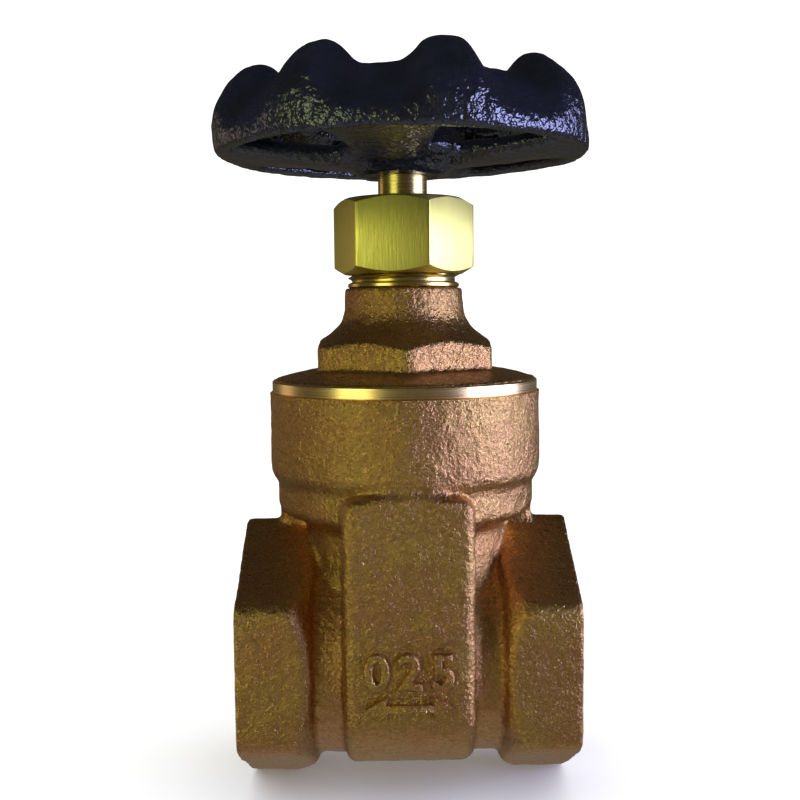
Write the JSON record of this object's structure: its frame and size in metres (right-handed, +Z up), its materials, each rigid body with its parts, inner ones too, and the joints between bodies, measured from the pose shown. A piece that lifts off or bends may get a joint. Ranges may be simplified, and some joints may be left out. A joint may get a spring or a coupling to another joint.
{
  "type": "gate valve",
  "caption": "Bronze gate valve with hexagonal threaded pipe ends, screwed bonnet, brass packing nut, non-rising stem, sliding wedge gate and lobed cast handwheel.",
  "frame": {"origin": "under the stem's axis, level with the lowest edges of the hexagonal pipe ends", "axes": "+X along the pipe's axis towards the right port, +Z up the stem towards the handwheel, +Y to the back"},
  "size_m": [0.0664, 0.0664, 0.1255],
  "materials": {
    "cast_bronze": "rough sand cast",
    "machined_brass": "turned, satin",
    "packing": "matt",
    "wheel_enamel": "gloss enamel over cast iron",
    "zinc_steel": "zinc plated",
    "plain_aluminium": "satin"
  },
  "bodies": {
    "valve": {"body": "cast_bronze", "bonnet": "cast_bronze", "stuffing_box": "machined_brass", "packing_ring_1": "packing", "packing_ring_2": "packing", "packing_ring_3": "packing", "packing_gland": "machined_brass", "packing_nut": "machined_brass"},
    "spindle": {"stem": "machined_brass", "handwheel": "wheel_enamel", "identification_disc": "plain_aluminium", "wheel_washer": "zinc_steel", "wheel_nut": "zinc_steel"},
    "gate": {"wedge": "cast_bronze"}
  },
  "joints": [
    {"name": "stem_turn", "type": "hinge", "parent": "valve", "child": "spindle", "pos_m": [0, 0, 0.02357], "axis": [0, 0, 1], "range_deg": [0, 3174.3]},
    {"name": "wedge_lift", "type": "slide", "parent": "valve", "child": "gate", "axis": [0, 0, 1], "range_m": [0, 0.028]}
  ],
  "couplings": [
    {"joint": "wedge_lift", "follows": "stem_turn", "m_per_rad": 0.00050532}
  ]
}
